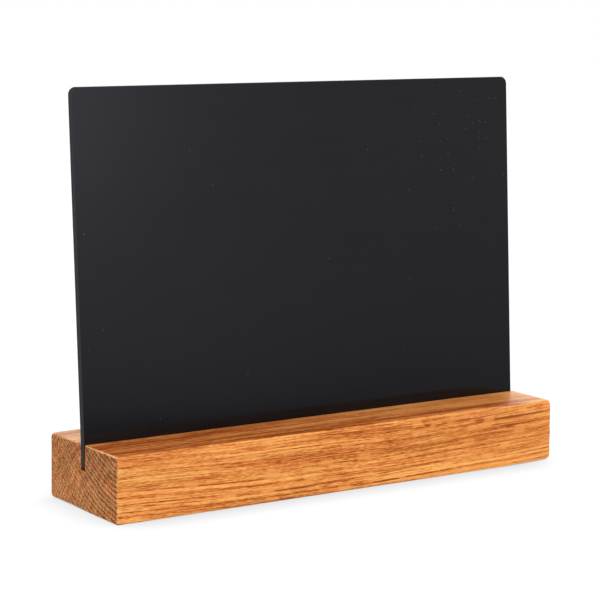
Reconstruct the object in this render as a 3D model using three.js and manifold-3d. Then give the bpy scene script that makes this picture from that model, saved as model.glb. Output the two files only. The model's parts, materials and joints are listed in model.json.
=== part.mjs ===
// Tabletop chalkboard: a thin black writing panel that stands, leaning back a little,
// in a saw cut along the top of a solid oak block.
// Millimetres and degrees. +Z is up, +X runs along the block, +Y points to the back.
// The origin is the middle of the block's underside.
import * as THREE from 'three';
import { mergeVertices } from 'three/addons/utils/BufferGeometryUtils.js';
import Module from 'manifold-3d';

// Driving dimensions of the panel
const PANEL_WIDTH = 210;
const PANEL_HEIGHT = 148;
const PANEL_THICKNESS = 2.8;
const PANEL_CORNER_RADIUS = 3;
const PANEL_EDGE_EASE = 0.25;

// Driving dimensions of the block
const BLOCK_END_MARGIN = 0.5; // how far the block reaches past each end of the panel
const BLOCK_DEPTH = 57;
const BLOCK_HEIGHT = 26.4;
const BLOCK_EDGE_RADIUS = 1;

// Driving dimensions of the saw cut and of the way the panel stands in it
const SLOT_DEPTH = 10;
const LEAN_DEGREES = 2.3;
const SIDE_CLEARANCE = 0.2; // to the cut's front wall and to its rear lip, each
const FLOOR_CLEARANCE = 0.3; // from the panel's lower edge to the floor of the cut

// How finely the round edges and corners are divided
const EDGE_STEPS = 4;
const CORNER_STEPS = 6;

// Sizes that follow from the driving dimensions
const blockLength = PANEL_WIDTH + 2 * BLOCK_END_MARGIN;
const lean = THREE.MathUtils.degToRad(LEAN_DEGREES);
const slotWidth = PANEL_THICKNESS / Math.cos(lean) + SLOT_DEPTH * Math.tan(lean) + 2 * SIDE_CLEARANCE;
const slotFloor = BLOCK_HEIGHT - SLOT_DEPTH;

const oak = new THREE.MeshStandardMaterial({
  name: 'oiled_oak',
  color: 0xd28a48,
  roughness: 0.55,
  metalness: 0,
});
const slate = new THREE.MeshStandardMaterial({
  name: 'chalkboard_black',
  color: 0x29292c,
  roughness: 0.75,
  metalness: 0,
});

const wasm = await Module();
wasm.setup();

// A closed three.js geometry as a solid that can be cut.
function toSolid(geometry) {
  const bare = geometry.clone();
  bare.deleteAttribute('normal');
  bare.deleteAttribute('uv');
  const merged = mergeVertices(bare);
  const mesh = new wasm.Mesh({
    numProp: 3,
    vertProperties: new Float32Array(merged.attributes.position.array),
    triVerts: new Uint32Array(merged.index.array),
  });
  return new wasm.Manifold(mesh);
}

// A cut solid back as a three.js geometry.
function toGeometry(solid) {
  const mesh = solid.getMesh();
  const geometry = new THREE.BufferGeometry();
  geometry.setAttribute('position', new THREE.BufferAttribute(mesh.vertProperties, 3));
  geometry.setIndex(new THREE.BufferAttribute(mesh.triVerts, 1));
  geometry.computeVertexNormals();
  return geometry;
}

// The outline of a rectangle with round corners, centred on the origin.
function roundedRectangle(width, height, radius) {
  const right = width / 2;
  const top = height / 2;
  const outline = new THREE.Shape();
  outline.absarc(right - radius, top - radius, radius, 0, Math.PI / 2);
  outline.absarc(radius - right, top - radius, radius, Math.PI / 2, Math.PI);
  outline.absarc(radius - right, radius - top, radius, Math.PI, Math.PI * 1.5);
  outline.absarc(right - radius, radius - top, radius, Math.PI * 1.5, Math.PI * 2);
  outline.closePath();
  return outline;
}

// A straight bar with that outline as its section, running along Z through the origin.
function roundedBar(width, height, length, radius) {
  const bar = new THREE.ExtrudeGeometry(roundedRectangle(width, height, radius), {
    depth: length,
    bevelEnabled: false,
    curveSegments: EDGE_STEPS,
  });
  return bar.translate(0, 0, -length / 2);
}

// A block centred on the origin with every edge rounded: what three crossing bars share,
// one along each axis, each running past the block at both ends.
function roundedBlock(length, depth, height, radius) {
  const reach = 2 * Math.max(length, depth, height);
  const alongX = roundedBar(height, depth, reach, radius).rotateY(Math.PI / 2);
  const alongY = roundedBar(length, height, reach, radius).rotateX(Math.PI / 2);
  const alongZ = roundedBar(length, depth, reach, radius);
  return toSolid(alongX).intersect(toSolid(alongY)).intersect(toSolid(alongZ));
}

// The oak block, with the saw cut running the whole length of its top, centred in its depth.
function makeBaseBlock() {
  const block = roundedBlock(blockLength, BLOCK_DEPTH, BLOCK_HEIGHT, BLOCK_EDGE_RADIUS);
  const blade = new THREE.BoxGeometry(2 * blockLength, slotWidth, 2 * SLOT_DEPTH);
  blade.translate(0, 0, BLOCK_HEIGHT / 2);
  const geometry = toGeometry(block.subtract(toSolid(blade)));
  geometry.translate(0, 0, BLOCK_HEIGHT / 2);
  const mesh = new THREE.Mesh(geometry, oak);
  mesh.name = 'base_block';
  return mesh;
}

// The writing panel. Its own frame has its origin at the middle of its lower rear edge,
// which is the edge that it stands on, with the plate upright and its face towards -Y.
function makeChalkPanel() {
  const plate = new THREE.ExtrudeGeometry(
    roundedRectangle(PANEL_WIDTH, PANEL_HEIGHT, PANEL_CORNER_RADIUS),
    {
      depth: PANEL_THICKNESS - 2 * PANEL_EDGE_EASE,
      bevelEnabled: true,
      bevelThickness: PANEL_EDGE_EASE,
      bevelSize: PANEL_EDGE_EASE,
      bevelOffset: -PANEL_EDGE_EASE,
      bevelSegments: 1,
      curveSegments: CORNER_STEPS,
    },
  );
  plate.rotateX(Math.PI / 2);
  plate.translate(0, -PANEL_EDGE_EASE, PANEL_HEIGHT / 2);
  const mesh = new THREE.Mesh(plate, slate);
  mesh.name = 'chalk_panel';
  return mesh;
}

// The leaning frame: turned back about the lower rear edge until the panel's back meets
// the cut's rear lip, which also brings its front lower edge up to the front wall.
function makeLeaningGroup() {
  const group = new THREE.Group();
  const rearLip = slotWidth / 2 - SIDE_CLEARANCE;
  const height = SLOT_DEPTH - FLOOR_CLEARANCE;
  group.position.set(0, rearLip - height * Math.tan(lean), slotFloor + FLOOR_CLEARANCE);
  group.rotation.x = -lean;
  group.add(makeChalkPanel());
  return group;
}

const group = new THREE.Group();
group.add(makeBaseBlock());
group.add(makeLeaningGroup());
export default group;
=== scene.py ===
import json
import math

import bpy
import numpy as np
from mathutils import Matrix, Vector


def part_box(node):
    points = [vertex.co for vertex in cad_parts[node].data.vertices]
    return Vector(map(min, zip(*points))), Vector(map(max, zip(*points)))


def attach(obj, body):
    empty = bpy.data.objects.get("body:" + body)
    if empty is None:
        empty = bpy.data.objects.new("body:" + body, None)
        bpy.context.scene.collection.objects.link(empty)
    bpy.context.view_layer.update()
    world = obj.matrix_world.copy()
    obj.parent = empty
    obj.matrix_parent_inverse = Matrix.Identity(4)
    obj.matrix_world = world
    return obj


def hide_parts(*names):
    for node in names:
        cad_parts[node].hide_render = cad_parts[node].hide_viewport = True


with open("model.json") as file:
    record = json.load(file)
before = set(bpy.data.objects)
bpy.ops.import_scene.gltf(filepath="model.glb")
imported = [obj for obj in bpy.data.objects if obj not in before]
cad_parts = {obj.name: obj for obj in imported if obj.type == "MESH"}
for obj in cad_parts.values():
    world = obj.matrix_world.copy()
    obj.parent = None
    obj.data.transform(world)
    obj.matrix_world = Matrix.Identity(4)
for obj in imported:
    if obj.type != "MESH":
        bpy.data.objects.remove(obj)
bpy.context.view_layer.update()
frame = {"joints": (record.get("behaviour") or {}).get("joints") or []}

# The tabletop chalkboard: a black writing panel that leans back in a saw cut along the top of an
# oiled oak block. +X runs along the block, +Y points to the back and +Z points up.

MM = 0.001

# The block, in millimetres; its length, depth and height come from the frame
BLOCK_LOW, BLOCK_HIGH = [np.array(corner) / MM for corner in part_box("base_block")]
BLOCK_LENGTH, BLOCK_DEPTH, BLOCK_HEIGHT = BLOCK_HIGH - BLOCK_LOW

# The saw cut in its top: its size, the height of its floor, how far its lips are broken, and how
# round the corners of its floor are
SLOT_DEPTH = 10.3
SLOT_WIDTH = 3.604
SLOT_FLOOR = BLOCK_HEIGHT - SLOT_DEPTH
SLOT_LIP_EASE = 0.25
SLOT_CORNER = 0.3

# The block's wear: how round its long edges and its two ends are. Near the right end all the long
# edges are rounder, and near the left end the rear ones, over the wear's reach from that end. The
# front top edge is a little sharper than the others.
EDGE_ROUND = 0.9
LEFT_END_ROUND = 1.0
RIGHT_END_ROUND = 1.75
LEFT_WEAR_REACH = 4.0
RIGHT_WEAR_REACH = 5.0
FRONT_TOP_SHARPER = 0.15

# Each long edge's rounding wanders: the seed of its wander, and how far it goes in millimetres
FRONT_FOOT = (1, 0.15)
REAR_FOOT = (2, 0.15)
REAR_TOP = (3, 0.25)
FRONT_TOP = (4, 0.40)
WANDER_LENGTHS = (3.1, 7.0, 17.0, 43.0)

# The ends' rounding wanders too, by a share of its size
LEFT_END_SEED = 11
RIGHT_END_SEED = 12
END_WANDER = 0.14
END_WANDER_LENGTHS = (1.7, 4.3, 9.0)

# The share of the ends' rounding that each part of the section takes
FOOT_END_SHARE = 1.0
TOP_END_SHARE = 1.6
SLOT_END_SHARE = 0.25

# Where the block strays from a true bar, in millimetres: how far it stands to the right of the
# middle, how far its underside lies to the left of its top, how much longer its right half is, how
# far its left end is skewed each way over the depth, and how high two corners of its underside rise
BLOCK_SHIFT = 0.17
END_LEAN = 0.45
RIGHT_STRETCH = 0.24
LEFT_END_SKEW = 0.28
FOOT_LIFT = 0.32

# Those two corners, rear left and front right: the spans along the block and across it over which
# each rises to its full height, and how far up the block the rise reaches
RISING_CORNERS = [((-60.0, -105.0), (-6.0, 12.0)), ((75.0, 100.0), (-10.0, -20.0))]
RISE_REACH = 3.0

# How finely the block is divided: steps round an edge and round an end, and spacing elsewhere
EDGE_STEPS = 7
END_STEPS = 11
STATION_SPACING = 1.0
POINT_SPACING = 1.5

# The panel, in millimetres, and the way it leans, from the axis that it slides along
PANEL_WIDTH = 210.0
PANEL_HEIGHT = 148.0
PANEL_THICKNESS = 2.8
PANEL_CORNER = 3.0
PANEL_FOOT_CORNER = 1.5
PANEL_ARRIS = 0.28
PANEL_SHIFT = -0.45
SIDE_CLEARANCE = 0.2
LIFT_AXIS = next(joint["axis"] for joint in frame["joints"] if joint["name"] == "panel_lift")
LEAN = math.atan2(LIFT_AXIS[1], LIFT_AXIS[2])
CORNER_STEPS = 16
ARRIS_STEPS = 5

# The camera, as solved from the photograph's straight edges: angles in degrees, the rest in
# millimetres, and the distances in metres between which it sees
CAMERA_AZIMUTH = -32.291
CAMERA_ELEVATION = 8.021
CAMERA_ROLL = -0.195
CAMERA_DISTANCE = 816.1
CAMERA_AIM = (-15.11, -15.92, 78.00)
CAMERA_LENS = 121.65
CAMERA_NEAREST = 0.05
CAMERA_FARTHEST = 50

# The floor: its colour for the light that it throws back, as the camera sees it, in the deepest
# shade, and in reflections; and how far it reaches each way, in metres
FLOOR_COLOUR = (0.85, 0.85, 0.85, 1)
FLOOR_SEEN = (1.06, 1.06, 1.06, 1)
FLOOR_IN_CONTACT = (0.05, 0.05, 0.05, 1)
FLOOR_MIRRORED = (1.22, 1.22, 1.22, 1)
FLOOR_REACH = 4.0

# The contact shade: how far it reaches from the object, in millimetres, and its strength along
# the block and past its ends. It changes from so far inside an end to so far outside it, in metres.
CONTACT_REACH = 22.0
CONTACT_SHARE = 0.55
CONTACT_SHARE_LEFT = 0.43
CONTACT_SHARE_RIGHT = 0.20
INSIDE_END = 0.02
OUTSIDE_END = 0.01
CONTACT_SAMPLES = 24

# How bright reflections show the floor, as shares of its full brightness. One share is a half at
# the dim reach from the object's middle and grows beyond it. The next rises from its near share to
# 1 over a span of distances. Both are in metres. The last falls from 1 to its side share over a
# span of bearings, in radians from straight in front.
REFLECTED_DIM_REACH = 0.08
REFLECTED_NEAR = (0.18, 0.30)
REFLECTED_NEAR_SHARE = 0.28
REFLECTED_BEARINGS = (0.33, 0.76)
REFLECTED_SIDE_SHARE = 0.69

# The light: the dome's strength, and each soft box's azimuth and elevation in degrees, its
# distance and size in metres, its power in watts, and whether reflections show it. They face the aim.
DOME_STRENGTH = 0.70
LAMP_AIM = (0, 0, 0.08)
LAMPS = [
    ("high_box", -12.0, 58.0, 1.5, 1.0, 5.4, True),
    ("front_box", -4.0, 18.0, 2.0, 1.2, 5.2, False),
    ("glow_box", 11.0, 14.0, 2.0, 1.0, 5.6, True),
    ("back_box", 150.0, 42.0, 1.5, 1.0, 9.5, True),
]


def closed_tube(name, points, side_material, cap_material):
    """An object at the origin from rings of points in millimetres, on a (ring, step) grid. Each
    ring runs anticlockwise, seen from the side that the rings are carried towards. Smooth quads
    join neighbouring rings, and a flat cap of its own material closes the first and the last
    ring, so that every face points outwards."""
    rings, around = points.shape[:2]
    ring, step = np.meshgrid(np.arange(rings - 1), np.arange(around), indexing="ij")
    start = ring * around
    after = (step + 1) % around
    quads = np.stack([start + step, start + after, start + around + after, start + around + step], -1)
    sides = quads.reshape(-1, 4).tolist()
    first_cap = list(range(around))[::-1]
    last_cap = list(range((rings - 1) * around, rings * around))
    mesh = bpy.data.meshes.new(name)
    mesh.from_pydata((points.reshape(-1, 3) * MM).tolist(), [], sides + [first_cap, last_cap])
    mesh.update()
    mesh.materials.append(side_material)
    mesh.materials.append(cap_material)
    mesh.polygons.foreach_set("use_smooth", [True] * len(sides) + [False, False])
    mesh.polygons.foreach_set("material_index", [0] * len(sides) + [1, 1])
    piece = bpy.data.objects.new(name, mesh)
    bpy.context.collection.objects.link(piece)
    return piece


# The block


def waves(along, seed, lengths, size):
    """A smooth wander: a sum of sines of the given lengths, with phases drawn from the seed."""
    phases = np.random.default_rng(seed).uniform(0, 2 * math.pi, len(lengths))
    sines = [np.sin(2 * math.pi * along / length + phase) for length, phase in zip(lengths, phases)]
    return size * sum(sines) / len(lengths)


def grown(value, span):
    """0 up to the span's first value, 1 from its last value on, and an even S between them."""
    start, end = span
    share = np.clip((value - start) / (end - start), 0, 1)
    return share * share * (3 - 2 * share)


def block_stations():
    """Places along the block: close together in the round ends, evenly spaced between them."""
    share = 1 - np.cos(np.linspace(0, math.pi / 2, END_STEPS))
    left = LEFT_END_ROUND * (1 + END_WANDER) * share
    right = RIGHT_END_ROUND * (1 + END_WANDER) * share
    first = left[-1] + STATION_SPACING
    last = BLOCK_LENGTH - right[-1] - STATION_SPACING / 2
    middle = np.arange(first, last, STATION_SPACING)
    along = np.concatenate([left, middle, BLOCK_LENGTH - right[::-1]])
    return along - BLOCK_LENGTH / 2


def end_inset(x, run):
    """How far the section draws in near an end: a quarter circle of each end's rounding, whose
    radius wanders with the run round the section."""
    inset = np.zeros((len(x), len(run)))
    for seed, distance, end_round in ((LEFT_END_SEED, x + BLOCK_LENGTH / 2, LEFT_END_ROUND),
                                      (RIGHT_END_SEED, BLOCK_LENGTH / 2 - x, RIGHT_END_ROUND)):
        radius = end_round * (1 + waves(run, seed, END_WANDER_LENGTHS, END_WANDER))[None, :]
        gap = np.clip(radius - distance[:, None], 0, radius)
        inset += radius - np.sqrt(radius ** 2 - gap ** 2)
    return inset


def block_section(x):
    """The block's section at each station, as a closed loop of (y, z) points that runs
    anticlockwise seen from the right, with the share of the ends' rounding that each point takes.
    Every corner is a quarter circle. A long edge's radius wanders along the block and grows near
    a worn end. Evenly spaced points join the corners, and their shares change evenly."""
    near_left = LEFT_END_ROUND * np.exp(-(BLOCK_LENGTH / 2 + x) / LEFT_WEAR_REACH)
    near_right = RIGHT_END_ROUND * np.exp(-(BLOCK_LENGTH / 2 - x) / RIGHT_WEAR_REACH)
    half = BLOCK_DEPTH / 2
    slot = SLOT_WIDTH / 2

    def worn(seed, wander):
        return EDGE_ROUND + waves(x, seed, WANDER_LENGTHS, wander) + near_right

    lip = np.full_like(x, SLOT_LIP_EASE)
    foot = np.full_like(x, SLOT_CORNER)
    corners = [
        (-half, 0, worn(*FRONT_FOOT), FOOT_END_SHARE),
        (half, 0, worn(*REAR_FOOT) + near_left, FOOT_END_SHARE),
        (half, BLOCK_HEIGHT, worn(*REAR_TOP) + near_left, TOP_END_SHARE),
        (slot, BLOCK_HEIGHT, lip, SLOT_END_SHARE),
        (slot, SLOT_FLOOR, foot, SLOT_END_SHARE),
        (-slot, SLOT_FLOOR, foot, SLOT_END_SHARE),
        (-slot, BLOCK_HEIGHT, lip, SLOT_END_SHARE),
        (-half, BLOCK_HEIGHT, worn(*FRONT_TOP) - FRONT_TOP_SHARPER, TOP_END_SHARE),
    ]
    places = np.array([corner[:2] for corner in corners])
    turn = np.linspace(0, math.pi / 2, EDGE_STEPS)[None, :, None]
    arcs = []
    for index, (place, corner) in enumerate(zip(places, corners)):
        radius = corner[2][:, None, None]
        arriving = place - places[index - 1]
        arriving = arriving / np.linalg.norm(arriving)
        leaving = places[(index + 1) % len(places)] - place
        leaving = leaving / np.linalg.norm(leaving)
        centre = place - arriving * radius + leaving * radius
        arcs.append(centre + radius * (arriving * np.sin(turn) - leaving * np.cos(turn)))
    loop = []
    share = []
    for index, arc in enumerate(arcs):
        loop.append(arc)
        share.append(np.full(EDGE_STEPS, corners[index][3]))
        following = arcs[(index + 1) % len(arcs)][:, :1]
        length = np.linalg.norm(following[0, 0] - arc[0, -1])
        count = max(int(length / POINT_SPACING), 1)
        part = np.linspace(0, 1, count + 1)[1:-1]
        loop.append(arc[:, -1:] + (following - arc[:, -1:]) * part[None, :, None])
        next_share = corners[(index + 1) % len(corners)][3]
        share.append(corners[index][3] + (next_share - corners[index][3]) * part)
    return np.concatenate(loop, 1), np.concatenate(share)


def foot_rise(x, y, z):
    """How far the underside stands off the floor: at each rising corner the growth along the
    block times the growth across it, less and less up the block until the rise's reach."""
    corners = sum(grown(x, along) * grown(y, across) for along, across in RISING_CORNERS)
    return FOOT_LIFT * corners * np.clip(1 - z / RISE_REACH, 0, 1)


def make_block(side_material, end_material):
    """The oak block: its section carried along X, and drawn in at both ends by the ends' rounding
    along the section's own normals. Its two rising corners then rise, and each point moves along
    X: all by the shift, to the left by the lean's share below the top, to the right by the
    stretch's share of the right half, and by the skew's share of the left half times the place
    across the block."""
    x = block_stations()
    section, share = block_section(x)
    tangent = np.roll(section, -1, 1) - np.roll(section, 1, 1)
    tangent /= np.linalg.norm(tangent, axis=2, keepdims=True)
    normal = np.stack([tangent[..., 1], -tangent[..., 0]], -1)
    steps = np.linalg.norm(np.roll(section, -1, 1) - section, axis=2).mean(0)
    inset = end_inset(x, np.cumsum(steps))
    section = section - normal * (inset * share[None, :])[..., None]
    x = x[:, None]
    y, z = section[..., 0], section[..., 1]
    z = z + foot_rise(x, y, z)
    below_top = 1 - z / BLOCK_HEIGHT
    to_left = np.clip(-2 * x / BLOCK_LENGTH, 0, 1)
    to_right = np.clip(2 * x / BLOCK_LENGTH, 0, 1)
    along = x + BLOCK_SHIFT - END_LEAN * below_top + RIGHT_STRETCH * to_right
    along = along - LEFT_END_SKEW * to_left * 2 * y / BLOCK_DEPTH
    piece = closed_tube("oak_block", np.stack([along, y, z], -1), side_material, end_material)
    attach(piece, "base")
    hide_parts("base_block")


# The panel


def rounded_outline(inset):
    """The panel's outline drawn in by inset: four quarter circles joined by straight edges, as
    (across, up) points from the middle of the lower edge, anticlockwise seen from the front."""
    turn = np.linspace(0, math.pi / 2, CORNER_STEPS)
    upper = (PANEL_HEIGHT - PANEL_CORNER, PANEL_CORNER)
    lower = (PANEL_FOOT_CORNER, PANEL_FOOT_CORNER)
    corners = [(1, *upper), (-1, *upper), (-1, *lower), (1, *lower)]
    arcs = []
    for quarter, (side, up, corner) in enumerate(corners):
        angle = turn + quarter * math.pi / 2
        radius = corner - inset
        across = side * (PANEL_WIDTH / 2 - corner)
        arcs.append(np.stack([across + radius * np.cos(angle), up + radius * np.sin(angle)], -1))
    return np.concatenate(arcs)


def make_panel(face_material, edge_material):
    """The writing panel: its outline carried from back to front and drawn in at both faces by a
    quarter circle, the arris. It is then leaned back about its lower rear edge. That edge stands
    as high as the solid's, and so far forward that the back clears the slot's rear lip."""
    turn = np.linspace(0, math.pi / 2, ARRIS_STEPS)
    inset = PANEL_ARRIS * (1 - np.sin(turn))
    depth = PANEL_ARRIS * (1 - np.cos(turn))
    insets = np.concatenate([inset, inset[::-1]])
    depths = np.concatenate([depth, PANEL_THICKNESS - depth[::-1]])
    outlines = np.stack([rounded_outline(each) for each in insets])
    y = np.broadcast_to(-depths[:, None], outlines.shape[:2])
    points = np.stack([outlines[..., 0], y, outlines[..., 1]], -1)
    foot_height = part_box("chalk_panel")[0].z / MM
    rear_edge = SLOT_WIDTH / 2 - SIDE_CLEARANCE - (BLOCK_HEIGHT - foot_height) * math.tan(LEAN)
    lean = np.array(Matrix.Rotation(-LEAN, 3, "X"))
    points = points @ lean.T + np.array([PANEL_SHIFT, rear_edge, foot_height])
    piece = closed_tube("writing_panel", points, edge_material, face_material)
    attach(piece, "panel")
    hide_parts("chalk_panel")


# Materials

# The tree: its pith line, in (y, z) millimetres, the radius at which lengths round it are true,
# its yearly growth, and how its grain sags in the middle of the block, slopes and sways
PITH = (-43.0, 81.0)
PITH_RADIUS = 80.0
YEAR_RING = 2.0
GRAIN_SAG = 0.0002
GRAIN_SLOPE = 0.002
GRAIN_SWAY = 3.0

# Oak colours from the darkest pores to the lightest flecks, by the tone that they stand for
OAK_TONES = [
    (0.00, (0.300, 0.064, 0.008)),
    (0.22, (0.480, 0.128, 0.020)),
    (0.40, (0.620, 0.196, 0.038)),
    (0.55, (0.730, 0.262, 0.063)),
    (0.72, (0.820, 0.336, 0.086)),
    (1.00, (0.935, 0.452, 0.126)),
]

# The same for the sawn ends
END_GRAIN_TONES = [
    (0.00, (0.150, 0.036, 0.004)),
    (0.25, (0.330, 0.098, 0.018)),
    (0.50, (0.500, 0.170, 0.036)),
    (0.75, (0.680, 0.268, 0.076)),
    (1.00, (0.900, 0.430, 0.165)),
]

# Tints that multiply those colours: the oil on the top, a tint that is also painted shade from the
# panel, the sides' redder and more golden fibres, the ends' redder and greyer parts, and the
# painted shade inside the slot, whose saw cut is also unoiled
TOP_OIL_AND_SHADE = (1.0, 0.87, 0.83, 1)
RED_FIBRES = (1.0, 0.93, 0.90, 1)
GOLD_FIBRES = (1.0, 1.08, 1.06, 1)
END_RED = (1.06, 0.95, 0.88, 1)
END_GREY = (0.90, 0.96, 1.00, 1)
SLOT_SHADE = (0.42, 0.34, 0.30, 1)

# Painted highlight, partly pale wear: the colour of oak where the ends' edges are lit and rubbed,
# and how far the slot's lips are painted pale, as a painted highlight
HIGHLIT_AND_RUBBED_OAK = (1.00, 0.52, 0.21, 1)
LIP_HIGHLIGHT = 0.30

# How much paler the top is painted behind the slot and at the right end, painted light where the
# panel's shade does not reach, and the spans in millimetres, across the block and along it, over
# which that sets in
BEHIND_SLOT = (2.0, 6.0)
REAR_STRIP_PAINTED_LIGHT = 0.24
RIGHT_END_RUN = (85.0, 100.0)
RIGHT_END_PAINTED_LIGHT = 0.24

# The tone of a ray's fleck, and how far it covers the figure under it
RAY_TONE = 0.80
RAY_SHARE = 0.55

# The oak's finish: its roughness at tone 0 and its specular level, planed and sawn, and its relief
PLANED_ROUGHNESS = 0.43
SAWN_ROUGHNESS = 0.60
PLANED_SPECULAR = 0.14
SAWN_SPECULAR = 0.26
GRAIN_RELIEF = 0.12

# The chalkboard's coat, from its deepest to its palest; its sawn edge, and that edge's front arris;
# and the darker rear arris and top edge
BOARD_DEEP = (0.0005, 0.0007, 0.0013, 1)
BOARD_PALE = (0.0018, 0.0021, 0.0030, 1)
BOARD_EDGE = (0.0600, 0.0610, 0.0660, 1)
BOARD_ARRIS = (0.0400, 0.0405, 0.0440, 1)
BOARD_NEAR_BLACK = (0.0040, 0.0040, 0.0045, 1)

# The board's finish: how rough its sawn edge is, and its faces at their foot and above the smooth
# strip there, which is so many millimetres high; how strongly the edge and the faces mirror; the
# tint of what they mirror; and the coat's relief in millimetres
EDGE_ROUGHNESS = 0.55
FOOT_ROUGHNESS = 0.10
FACE_ROUGHNESS = 0.22
SMOOTH_STRIP = 20
EDGE_SPECULAR = 0.0
FACE_SPECULAR = 0.26
MIRROR_TINT = (0.90, 0.905, 1.0, 1)
COAT_RELIEF = 0.03

# Crumbs of chalk: their colour, how far apart they can lie, and where on the board the cloth missed
# them, in millimetres. The share of places with a crumb falls from the middle of that patch outwards.
CHALK_TRACE = (0.1400, 0.1400, 0.1450, 1)
CRUMB_SPACING = 3.4
CRUMB_MIDDLE = (74.0, 138.0)
CRUMB_SPREAD = (14.0, 46.0)
CRUMB_SHARES = (0.36, 0.01)


class Recipe:
    """One material's nodes. Each method adds a node or a few and gives back what comes out of
    them. It takes numbers, colours or what came out of other nodes."""

    def __init__(self, name):
        self.material = bpy.data.materials.new(name)
        self.material.use_nodes = True
        self.tree = self.material.node_tree
        self.shader = self.tree.nodes["Principled BSDF"]

    def add(self, kind, settings, given):
        node = self.tree.nodes.new("ShaderNode" + kind)
        for key, value in settings.items():
            setattr(node, key, value)
        for key, value in given.items():
            self.give(node.inputs[key], value)
        return node

    def give(self, socket, value):
        if isinstance(value, bpy.types.NodeSocket):
            self.tree.links.new(value, socket)
        else:
            socket.default_value = value

    def finish(self, **values):
        """Gives values to the shader's sockets, with _ for the spaces in their names."""
        for name, value in values.items():
            self.give(self.shader.inputs[name.replace("_", " ")], value)
        return self.material

    def math(self, operation, first, second=0.0, third=0.0):
        node = self.add("Math", {"operation": operation}, {0: first, 1: second, 2: third})
        return node.outputs[0]

    def total(self, *terms):
        result = terms[0]
        for term in terms[1:]:
            result = self.math("ADD", result, term)
        return result

    def product(self, *factors):
        result = factors[0]
        for factor in factors[1:]:
            result = self.math("MULTIPLY", result, factor)
        return result

    def swing(self, value, size):
        """A value around a half as one around nothing, and so many times larger."""
        return self.math("MULTIPLY_ADD", value, size, -size / 2)

    def ease(self, value, low, high, to_low=0.0, to_high=1.0):
        """Value carried smoothly from low..high to to_low..to_high, and held at the ends."""
        given = {"Value": value, "From Min": low, "From Max": high, "To Min": to_low, "To Max": to_high}
        return self.add("MapRange", {"interpolation_type": "SMOOTHSTEP"}, given).outputs["Result"]

    def band(self, value, rise, fall):
        """0 up to the rise, 1 between the rise and the fall, and 0 after it."""
        return self.product(self.ease(value, *rise), self.ease(value, *fall, 1.0, 0.0))

    def axes(self, vector):
        return self.add("SeparateXYZ", {}, {"Vector": vector}).outputs[:3]

    def here(self):
        """The place on the object, as x, y and z in millimetres."""
        place = self.add("TexCoord", {}, {}).outputs["Object"]
        scaled = self.add("VectorMath", {"operation": "SCALE"}, {0: place, "Scale": 1 / MM})
        return self.axes(scaled.outputs[0])

    def facing(self):
        """The way that the surface faces, as its shares along x, y and z."""
        return self.axes(self.add("TexCoord", {}, {}).outputs["Normal"])

    def place(self, x, y, z):
        return self.add("CombineXYZ", {}, {"X": x, "Y": y, "Z": z}).outputs[0]

    def stretched(self, axes, lengths):
        """A place whose three measures are divided by three lengths."""
        return self.place(*[self.product(axis, 1 / length) for axis, length in zip(axes, lengths)])

    def length(self, vector):
        return self.add("VectorMath", {"operation": "LENGTH"}, {0: vector}).outputs["Value"]

    def noise(self, place, detail=2.0, roughness=0.5):
        given = {"Vector": place, "Scale": 1.0, "Detail": detail, "Roughness": roughness}
        return self.add("TexNoise", {"noise_dimensions": "3D"}, given).outputs[0]

    def cells(self, place, dimensions="3D", distance="EUCLIDEAN"):
        """Scattered cells: the distance to the nearest one's middle, and its own random colour."""
        settings = {"feature": "F1", "voronoi_dimensions": dimensions, "distance": distance}
        node = self.add("TexVoronoi", settings, {"Vector": place, "Scale": 1.0, "Randomness": 1.0})
        return node.outputs["Distance"], node.outputs["Color"]

    def chances(self, colour):
        """Three random numbers from 0 to 1, from a cell's random colour."""
        return self.add("SeparateColor", {}, {"Color": colour}).outputs

    def tones(self, value, stops):
        node = self.add("ValToRGB", {}, {"Fac": value})
        ramp = node.color_ramp
        while len(ramp.elements) < len(stops):
            ramp.elements.new(1.0)
        for element, (position, colour) in zip(ramp.elements, stops):
            element.position = position
            element.color = (*colour, 1)
        return node.outputs["Color"]

    def mixed(self, share, first, second, blend="MIX"):
        settings = {"data_type": "RGBA", "blend_type": blend}
        return self.add("Mix", settings, {0: share, 6: first, 7: second}).outputs[2]

    def mixed_number(self, share, first, second):
        return self.add("Mix", {"data_type": "FLOAT"}, {0: share, 2: first, 3: second}).outputs[0]

    def tinted(self, share, colour, tint):
        return self.mixed(share, colour, tint, "MULTIPLY")

    def bump(self, height, strength, relief):
        """A normal for the shader, from a height and how many millimetres it stands for."""
        given = {"Height": height, "Strength": strength, "Distance": relief * MM}
        return self.add("Bump", {}, given).outputs[0]


def tree_place(oak, here):
    """Each point's place in the tree: how far along it, round its pith and out from it."""
    x, y, z = here
    sway = oak.noise(oak.stretched(here, (70.0, 40.0, 40.0)), 1.0)
    sag = oak.product(oak.math("MULTIPLY_ADD", x, GRAIN_SAG, GRAIN_SLOPE), x)
    level = oak.total(z, oak.product(sag, -1.0), oak.swing(sway, GRAIN_SWAY))
    across = oak.total(y, -PITH[0])
    below = oak.math("SUBTRACT", PITH[1], level)
    out = oak.math("SQRT", oak.total(oak.product(across, across), oak.product(below, below)))
    round_pith = oak.product(oak.math("ARCTAN2", across, below), PITH_RADIUS)
    return x, round_pith, out


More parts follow.
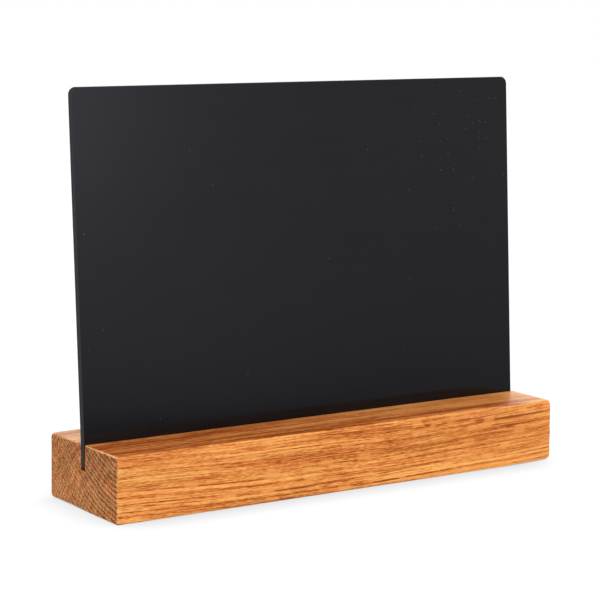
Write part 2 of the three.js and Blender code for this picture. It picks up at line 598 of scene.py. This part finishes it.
def year_rings(oak, grain):
    """Year rings: how far through its year's growth each point is, where the year's open early
    wood is, which is dark, and where a darker seam marks its start."""
    x, round_pith, out = grain
    waver = oak.noise(oak.stretched(grain, (90.0, 12.0, 5.0)), 2.0)
    years = oak.math("MULTIPLY_ADD", out, 1 / YEAR_RING, oak.swing(waver, 1.4))
    season = oak.math("FRACT", years)
    year = oak.math("FLOOR", years)
    chance = oak.add("TexWhiteNoise", {"noise_dimensions": "1D"}, {"W": year}).outputs["Value"]
    spring = oak.band(season, (0.0, 0.08), (0.20, 0.75))
    spring = oak.product(spring, oak.math("MULTIPLY_ADD", chance, 0.8, 0.3))
    seam_run = oak.noise(oak.stretched((x, round_pith, year), (45.0, 6.0, 1.0)), 2.0)
    seam = oak.product(oak.band(season, (0.0, 0.05), (0.08, 0.28)), oak.ease(seam_run, 0.42, 0.60))
    return season, spring, seam


def oak_pores(oak, grain, spring):
    """Open pores: short dark strokes along the grain, most of them in the early wood."""
    distance, colour = oak.cells(oak.stretched(grain, (10.0, 0.75, 0.55)))
    chance = oak.chances(colour)[0]
    open_pore = oak.ease(oak.total(chance, oak.product(spring, 0.45)), 0.72, 0.85)
    return oak.product(oak.ease(distance, 0.18, 0.48, 1.0, 0.0), open_pore)


def long_grain(oak, grain, spring, seam, pore, short_streaks, patches):
    """The tone of a face sawn along the grain: streaks, dashes, broad runs and patches round a
    middle tone, with early wood, seams, blotches, thin lines and pores darker and rays paler. The
    figure is calmer towards the right. Each length is how far a figure runs along the tree,
    round its pith and out from it."""
    long_streaks = oak.noise(oak.stretched(grain, (120.0, 2.0, 0.50)), 2.0, 0.65)
    dashes = oak.noise(oak.stretched(grain, (2.4, 0.9, 0.45)), 1.0)
    broad = oak.noise(oak.stretched(grain, (130.0, 8.0, 1.5)), 1.0)
    calm = oak.ease(grain[0], 10.0, 80.0, 1.0, 0.70)
    blotches = oak.noise(oak.stretched(grain, (15.0, 6.0, 1.3)), 4.0, 0.65)
    blotch = oak.ease(blotches, 0.54, 0.66)

    contours = oak.noise(oak.stretched(grain, (170.0, 5.0, 2.2)), 1.0)
    from_line = oak.math("ABSOLUTE", oak.math("SUBTRACT", contours, 0.48))
    line_run = oak.noise(oak.stretched(grain, (50.0, 6.0, 6.0)), 2.0)
    line = oak.product(oak.ease(from_line, 0.008, 0.026, 1.0, 0.0), oak.ease(line_run, 0.45, 0.58))

    distance, colour = oak.cells(oak.stretched(grain, (9.0, 1.6, 4.2)), "3D", "CHEBYCHEV")
    from_ray = oak.math("MULTIPLY_ADD", dashes, 0.5, distance)
    chance = oak.chances(colour)[0]
    ray = oak.product(oak.ease(from_ray, 0.52, 0.62, 1.0, 0.0), oak.ease(chance, 0.66, 0.72))

    tone = oak.total(
        0.62,
        oak.product(calm, oak.swing(long_streaks, 1.7)),
        oak.product(calm, oak.swing(short_streaks, 1.0)),
        oak.product(calm, oak.swing(dashes, 0.95)),
        oak.swing(broad, 0.9),
        oak.swing(patches, 0.5),
        oak.product(spring, -0.10),
        oak.product(seam, -0.26),
        oak.product(blotch, oak.math("MULTIPLY_ADD", calm, -0.50, 0.26)),
        oak.product(line, -0.45),
        oak.product(pore, -0.24),
    )
    return oak.mixed_number(oak.product(ray, RAY_SHARE), tone, RAY_TONE)


def broad_tone(oak, here, top):
    """What the parts of the block add to the tone. The flat-sawn top has broad bands, and is
    paler to the right; behind the slot and at the right end it is painted paler, painted light
    where the panel's shade does not reach. The sides are paler at the upper right, a painted
    highlight below the front top edge, and in a low layer, and darker in a layer above it and in
    a run left of the middle."""
    x, y, z = here
    bands = oak.noise(oak.stretched(here, (130.0, 4.5, 60.0)), 3.0, 0.6)
    top_tone = oak.total(
        oak.math("MULTIPLY_ADD", bands, 2.2, -1.24),
        # Painted light: paler behind the slot and at the right end, where the panel's shade does not reach
        oak.ease(y, *BEHIND_SLOT, 0.0, REAR_STRIP_PAINTED_LIGHT),
        oak.ease(x, -10.0, 25.0, 0.0, 0.06),
        oak.ease(x, *RIGHT_END_RUN, 0.0, RIGHT_END_PAINTED_LIGHT),
    )
    side_tone = oak.total(
        # Painted highlight: paler near the top at the right, below the top edge
        oak.product(oak.ease(z, 21.0, 25.0, 0.0, 0.20), oak.ease(x, 60.0, 98.0)),
        oak.product(oak.band(x, (-60.0, -35.0), (-10.0, 15.0)), -0.09),
        oak.product(oak.band(z, (11.0, 15.0), (19.0, 22.5)), -0.11),
        oak.product(oak.band(z, (3.0, 6.0), (8.5, 11.5)), 0.07),
        oak.ease(x, 50.0, 70.0, 0.035, -0.03),
    )
    return oak.mixed_number(top, side_tone, top_tone)


def planed_colour(oak, here, grain, top, lip_gap, tone):
    """The planed faces: their tone's colour, tinted redder or more golden along the fibres, and
    on the top by a darker tint for the oil that it soaked up and for painted shade from the
    panel, less of it behind the slot and at the right end, where the panel's shade does not
    reach. The top's lips beside the slot are painted pale, a painted highlight."""
    x, y, _ = here
    warmth = oak.noise(oak.stretched(grain, (60.0, 8.0, 1.8)), 2.0)
    gold = oak.total(oak.ease(warmth, 0.36, 0.64), oak.ease(x, 50.0, 100.0, 0.0, 0.25))
    # The top's oil tint, which is also painted shade from the panel: weaker behind the slot and at the
    # right end
    oiled_and_shaded = oak.product(top, oak.ease(y, *BEHIND_SLOT, 1.0, 0.4), oak.ease(x, *RIGHT_END_RUN, 1.0, 0.5))
    tint = oak.mixed(oiled_and_shaded, oak.mixed(gold, RED_FIBRES, GOLD_FIBRES), TOP_OIL_AND_SHADE)
    colour = oak.tinted(1.0, oak.tones(tone, OAK_TONES), tint)
    # A painted highlight along the slot's lips
    lip = oak.product(top, oak.ease(lip_gap, 0.4, 2.4, 1.0, 0.0), LIP_HIGHLIGHT)
    return oak.mixed(lip, colour, (*OAK_TONES[-1][1], 1))


def end_grain_colour(oak, here, grain, season, short_streaks, patches):
    """End grain: the early pores stand in dark rows, and pale rays cross them. It is darker
    towards the top and the back, more speckled at the back, and drifts between red and grey."""
    _, y, z = here
    distance, _ = oak.cells(oak.stretched(grain, (40.0, 0.50, 0.50)))
    pore = oak.ease(distance, 0.15, 0.50, 1.0, 0.0)
    row = oak.band(season, (0.0, 0.10), (0.16, 0.50))
    speckle = oak.noise(oak.stretched(here, (30.0, 0.9, 0.45)), 3.0, 0.75)
    rays = oak.noise(oak.stretched(grain, (60.0, 0.32, 7.0)), 1.0)
    tone = oak.total(
        oak.math("MULTIPLY_ADD", z, -0.27 / BLOCK_HEIGHT, 0.775),
        oak.product(y, -0.05 / BLOCK_DEPTH),
        oak.swing(patches, 0.5),
        oak.product(row, oak.ease(y, -20.0, 15.0, -0.56, -0.20)),
        oak.product(pore, oak.math("MULTIPLY_ADD", row, -0.25, -0.24)),
        oak.product(oak.ease(y, -10.0, 12.0, 1.0, 1.4), oak.math("MULTIPLY_ADD", speckle, 1.9, -0.93)),
        oak.swing(rays, 1.5),
        oak.swing(short_streaks, 0.5),
    )
    drift = oak.noise(oak.stretched(here, (60.0, 9.0, 6.0)), 3.0, 0.6)
    hue = oak.mixed(oak.ease(drift, 0.36, 0.62), END_RED, END_GREY)
    return oak.tinted(1.0, oak.tones(tone, END_GRAIN_TONES), hue)


def highlit_and_rubbed_ends(oak, here, facing):
    """How far the edges of the sawn ends are painted pale, a painted highlight that is partly rubbed
    wear: raggedly all along the top, less of it behind the slot, and in nicks down the corners."""
    _, y, z = here
    sideways = oak.math("ABSOLUTE", facing[0])
    ragged = oak.noise(oak.stretched(here, (1.4, 1.4, 1.4)), 3.0, 0.6)
    rim = oak.product(sideways, facing[2], oak.ease(ragged, 0.30, 0.55, 0.72, 1.0))
    near_top = oak.ease(z, BLOCK_HEIGHT - 3, BLOCK_HEIGHT - 2)
    rim = oak.product(oak.ease(rim, 0.30, 0.42, 0.0, 0.85), near_top, oak.ease(y, 1.0, 6.0, 1.0, 0.35))
    nicks = oak.noise(oak.stretched(here, (4.0, 4.0, 1.5)), 4.0, 0.7)
    corner = oak.ease(oak.product(sideways, oak.math("ABSOLUTE", facing[1])), 0.20, 0.42)
    corner = oak.product(corner, oak.ease(nicks, 0.44, 0.60, 0.0, 0.45))
    return oak.math("MAXIMUM", rim, corner)


def inside_slot(oak, here, lip_gap):
    """1 on the slot's floor and walls, fading out below its lips: there the slot is tinted darker as
    painted shade, and because nobody oils or sands there.
    """
    floor_to_lips = oak.band(here[2], (SLOT_FLOOR - 0.2, SLOT_FLOOR - 0.1),
                             (BLOCK_HEIGHT - 0.8, BLOCK_HEIGHT - 0.4))
    return oak.product(floor_to_lips, oak.ease(lip_gap, 0.0, 0.2, 1.0, 0.0))


def make_oak(name, sawn_end):
    """Oiled oak sawn from a tree whose pith runs along X in front of the block and above it:
    year rings are circles round it, pores and fibres run along X, and rays run outwards. The
    sawn ends have their own finish, thirstier and duller than the planed faces."""
    oak = Recipe(name)
    here = oak.here()
    facing = oak.facing()
    grain = tree_place(oak, here)
    season, spring, seam = year_rings(oak, grain)
    short_streaks = oak.noise(oak.stretched(grain, (8.0, 1.2, 0.36)), 2.0, 0.6)
    patches = oak.noise(oak.stretched(grain, (26.0, 14.0, 3.5)), 2.0)
    pore = oak_pores(oak, grain, spring)
    top = oak.ease(facing[2], 0.5, 0.9)
    lip_gap = oak.math("SUBTRACT", oak.math("ABSOLUTE", here[1]), SLOT_WIDTH / 2)

    tone = long_grain(oak, grain, spring, seam, pore, short_streaks, patches)
    tone = oak.total(tone, broad_tone(oak, here, top))
    planed = planed_colour(oak, here, grain, top, lip_gap, tone)
    sawn = end_grain_colour(oak, here, grain, season, short_streaks, patches)
    end = 1.0 if sawn_end else oak.ease(oak.math("ABSOLUTE", facing[0]), 0.60, 0.88)
    colour = oak.mixed(end, planed, sawn)
    # Painted highlight, partly rubbed wear, on the ends' upper edges and corners
    colour = oak.mixed(highlit_and_rubbed_ends(oak, here, facing), colour, HIGHLIT_AND_RUBBED_OAK)
    # Painted shade inside the slot, whose saw cut is also unoiled
    colour = oak.tinted(inside_slot(oak, here, lip_gap), colour, SLOT_SHADE)

    height = oak.total(oak.product(tone, 0.35), oak.product(pore, -0.6), oak.product(short_streaks, 0.5))
    roughness = oak.math("MULTIPLY_ADD", tone, -0.12, SAWN_ROUGHNESS if sawn_end else PLANED_ROUGHNESS)
    return oak.finish(
        Base_Color=colour,
        Normal=oak.bump(height, 0.35, GRAIN_RELIEF),
        Roughness=roughness,
        Specular_IOR_Level=SAWN_SPECULAR if sawn_end else PLANED_SPECULAR,
    )


def chalk_crumbs(board, here, facing):
    """Crumbs of chalk on the front of the board: small dots of unlike strength in some of the
    cells of a scattered grid, most of them near the middle of the patch that the cloth missed."""
    x, y, z = here
    flat = board.stretched((x, z, y), (CRUMB_SPACING, CRUMB_SPACING, CRUMB_SPACING))
    distance, colour = board.cells(flat, "2D")
    chances = board.chances(colour)
    from_middle = board.place(board.total(x, -CRUMB_MIDDLE[0]), 0.0, board.total(z, -CRUMB_MIDDLE[1]))
    missed = board.ease(board.length(from_middle), *CRUMB_SPREAD, *CRUMB_SHARES)
    missed = board.product(missed, board.math("LESS_THAN", facing[1], 0.0))
    crumb = board.product(board.ease(distance, 0.03, 0.10, 1.0, 0.0),
                          board.math("LESS_THAN", chances[0], missed))
    return board.product(crumb, board.ease(chances[1], 0.2, 1.0, 0.06, 0.48))


def sawn_edge_colour(board, here, facing):
    """The board's sawn edge: a little paler than its faces, patchy, and darker at its front
    arris. Its rear arris and the top of the board are nearly black."""
    patchy = board.noise(board.stretched(here, (1.5, 0.5, 1.5)), 2.0)
    colour = board.mixed(board.ease(patchy, 0.3, 0.7, 0.0, 0.35), BOARD_EDGE, BOARD_PALE)
    front_arris = board.ease(facing[1], -0.45, -0.15, 1.0, 0.0)
    colour = board.mixed(front_arris, colour, BOARD_ARRIS)
    rear_arris = board.ease(facing[1], 0.15, 0.45)
    upper = board.ease(facing[2], 0.80, 0.97)
    return board.mixed(board.math("MAXIMUM", upper, rear_arris), colour, BOARD_NEAR_BLACK)


def make_chalkboard(name, sawn_edge):
    """Chalkboard black: a fine even coat, wiped along its width, smoother at the foot, with a few
    crumbs of chalk left in it. The sawn edge is matt and has a colour of its own."""
    board = Recipe(name)
    here = board.here()
    facing = board.facing()
    clouds = board.noise(board.stretched(here, (34.0, 34.0, 22.0)), 3.0, 0.6)
    wiped = board.noise(board.stretched(here, (70.0, 9.0, 3.5)), 3.0, 0.6)
    coat = board.noise(board.stretched(here, (0.8, 0.8, 0.8)), 2.0, 0.6)
    crumb = chalk_crumbs(board, here, facing)
    if sawn_edge:
        colour = sawn_edge_colour(board, here, facing)
        roughness = EDGE_ROUGHNESS
    else:
        paleness = board.total(board.math("MULTIPLY_ADD", clouds, 1.2, -0.25), board.swing(wiped, 0.7),
                               board.swing(coat, 1.0))
        colour = board.mixed(paleness, BOARD_DEEP, BOARD_PALE)
        colour = board.mixed(crumb, colour, CHALK_TRACE)
        roughness = board.ease(here[2], BLOCK_HEIGHT, BLOCK_HEIGHT + SMOOTH_STRIP, FOOT_ROUGHNESS,
                               FACE_ROUGHNESS)
    return board.finish(
        Base_Color=colour,
        Normal=board.bump(board.total(coat, board.product(crumb, 0.6)), 0.10, COAT_RELIEF),
        Roughness=board.total(roughness, board.swing(wiped, 0.08), board.swing(clouds, 0.06)),
        Specular_IOR_Level=EDGE_SPECULAR if sawn_edge else FACE_SPECULAR,
        Specular_Tint=MIRROR_TINT,
    )


# Camera, floor and light


def outwards(azimuth, elevation):
    """The direction away from the object, by degrees to the right of its front and upwards."""
    azimuth = math.radians(azimuth)
    elevation = math.radians(elevation)
    level = math.cos(elevation)
    return Vector((math.sin(azimuth) * level, -math.cos(azimuth) * level, math.sin(elevation)))


def make_camera():
    """The camera, turned round the point it aims at by azimuth and elevation, then rolled."""
    back = outwards(CAMERA_AZIMUTH, CAMERA_ELEVATION)
    data = bpy.data.cameras.new("camera")
    data.lens = CAMERA_LENS
    data.clip_start = CAMERA_NEAREST
    data.clip_end = CAMERA_FARTHEST
    camera = bpy.data.objects.new("camera", data)
    bpy.context.collection.objects.link(camera)
    turned = (-back).to_track_quat("-Z", "Y").to_matrix()
    rolled = turned @ Matrix.Rotation(math.radians(CAMERA_ROLL), 3, "Z")
    place = Vector(CAMERA_AIM) * MM + back * CAMERA_DISTANCE * MM
    camera.matrix_world = Matrix.Translation(place) @ rolled.to_4x4()
    bpy.context.scene.camera = camera


def make_floor_material():
    """A white floor. It lights the object as white paint does, and the camera sees it pure white,
    but for the shade of the object where it stands. In reflections it dims near the object, to
    its sides and behind it, and is brightest in front."""
    floor = Recipe("floor_white")
    here = floor.add("TexCoord", {}, {}).outputs["Object"]
    sideways, backwards, _ = floor.axes(here)

    # As the camera sees it: the more closed in by the object, the darker
    half = BLOCK_LENGTH / 2 * MM
    to_right = floor.ease(sideways, half - INSIDE_END, half + OUTSIDE_END,
                          0.0, CONTACT_SHARE_RIGHT - CONTACT_SHARE)
    to_left = floor.ease(sideways, -half - OUTSIDE_END, -half + INSIDE_END,
                         CONTACT_SHARE_LEFT - CONTACT_SHARE, 0.0)
    share = floor.total(CONTACT_SHARE, to_right, to_left)
    contact = floor.add("AmbientOcclusion", {"samples": CONTACT_SAMPLES}, {"Distance": CONTACT_REACH * MM})
    closed_in = floor.math("SUBTRACT", 1.0, contact.outputs["AO"])
    lit = floor.math("SUBTRACT", 1.0, floor.product(closed_in, share))
    seen = floor.mixed(lit, FLOOR_IN_CONTACT, FLOOR_SEEN)

    # As reflections show it
    away = floor.length(here)
    bearing = floor.math("ABSOLUTE", floor.math("ARCTAN2", sideways, floor.product(backwards, -1.0)))
    lit = floor.product(
        floor.math("DIVIDE", away, floor.math("ADD", away, REFLECTED_DIM_REACH)),
        floor.ease(away, *REFLECTED_NEAR, REFLECTED_NEAR_SHARE, 1.0),
        floor.ease(bearing, *REFLECTED_BEARINGS, 1.0, REFLECTED_SIDE_SHARE),
    )
    mirrored = floor.mixed(lit, FLOOR_IN_CONTACT, FLOOR_MIRRORED)

    path = floor.add("LightPath", {}, {}).outputs
    glow = floor.add("Emission", {}, {"Color": floor.mixed(path["Is Camera Ray"], mirrored, seen),
                                      "Strength": 1.0})
    paint = floor.add("BsdfDiffuse", {}, {"Color": FLOOR_COLOUR})
    shown = floor.math("MAXIMUM", path["Is Camera Ray"], path["Is Glossy Ray"])
    shown = floor.math("MAXIMUM", shown, path["Is Transmission Ray"])
    either = floor.add("MixShader", {}, {0: shown, 1: paint.outputs[0], 2: glow.outputs[0]})
    floor.give(floor.tree.nodes["Material Output"].inputs["Surface"], either.outputs[0])
    return floor.material


def make_world():
    """Soft white light from all round; the camera and the reflections see plain white."""
    world = bpy.data.worlds.new("studio")
    bpy.context.scene.world = world
    world.use_nodes = True
    nodes = world.node_tree.nodes
    links = world.node_tree.links
    background = nodes["Background"]
    path = nodes.new("ShaderNodeLightPath")
    seen = nodes.new("ShaderNodeMath")
    seen.operation = "MAXIMUM"
    seen_or_clear = nodes.new("ShaderNodeMath")
    seen_or_clear.operation = "MAXIMUM"
    strength = nodes.new("ShaderNodeMix")
    strength.data_type = "FLOAT"
    strength.inputs["A"].default_value = DOME_STRENGTH
    strength.inputs["B"].default_value = 1.0
    links.new(path.outputs["Is Camera Ray"], seen.inputs[0])
    links.new(path.outputs["Is Glossy Ray"], seen.inputs[1])
    links.new(seen.outputs[0], seen_or_clear.inputs[0])
    links.new(path.outputs["Is Transmission Ray"], seen_or_clear.inputs[1])
    links.new(seen_or_clear.outputs[0], strength.inputs["Factor"])
    links.new(strength.outputs["Result"], background.inputs["Strength"])
    background.inputs["Color"].default_value = (1, 1, 1, 1)


def make_lamp(name, azimuth, elevation, distance, size, watts, shows):
    """A square soft box, turned to face the lamps' aim."""
    data = bpy.data.lights.new(name, "AREA")
    data.shape = "SQUARE"
    data.size = size
    data.energy = watts
    lamp = bpy.data.objects.new(name, data)
    lamp.visible_glossy = shows
    bpy.context.collection.objects.link(lamp)
    away = outwards(azimuth, elevation)
    turned = away.to_track_quat("Z", "Y").to_matrix().to_4x4()
    lamp.matrix_world = Matrix.Translation(Vector(LAMP_AIM) + away * distance) @ turned


def make_stage():
    """A wide white floor, the soft world and the soft boxes."""
    mesh = bpy.data.meshes.new("floor")
    corners = [(-1, -1), (1, -1), (1, 1), (-1, 1)]
    mesh.from_pydata([(x * FLOOR_REACH, y * FLOOR_REACH, 0) for x, y in corners], [], [(0, 1, 2, 3)])
    floor = bpy.data.objects.new("floor", mesh)
    bpy.context.collection.objects.link(floor)
    mesh.materials.append(make_floor_material())
    make_world()
    for lamp in LAMPS:
        make_lamp(*lamp)


make_camera()
make_stage()
make_block(make_oak("oiled_oak", sawn_end=False), make_oak("oak_end_grain", sawn_end=True))
make_panel(make_chalkboard("chalkboard_black", sawn_edge=False),
           make_chalkboard("chalkboard_edge", sawn_edge=True))

bpy.context.scene.view_settings.view_transform = "Standard"
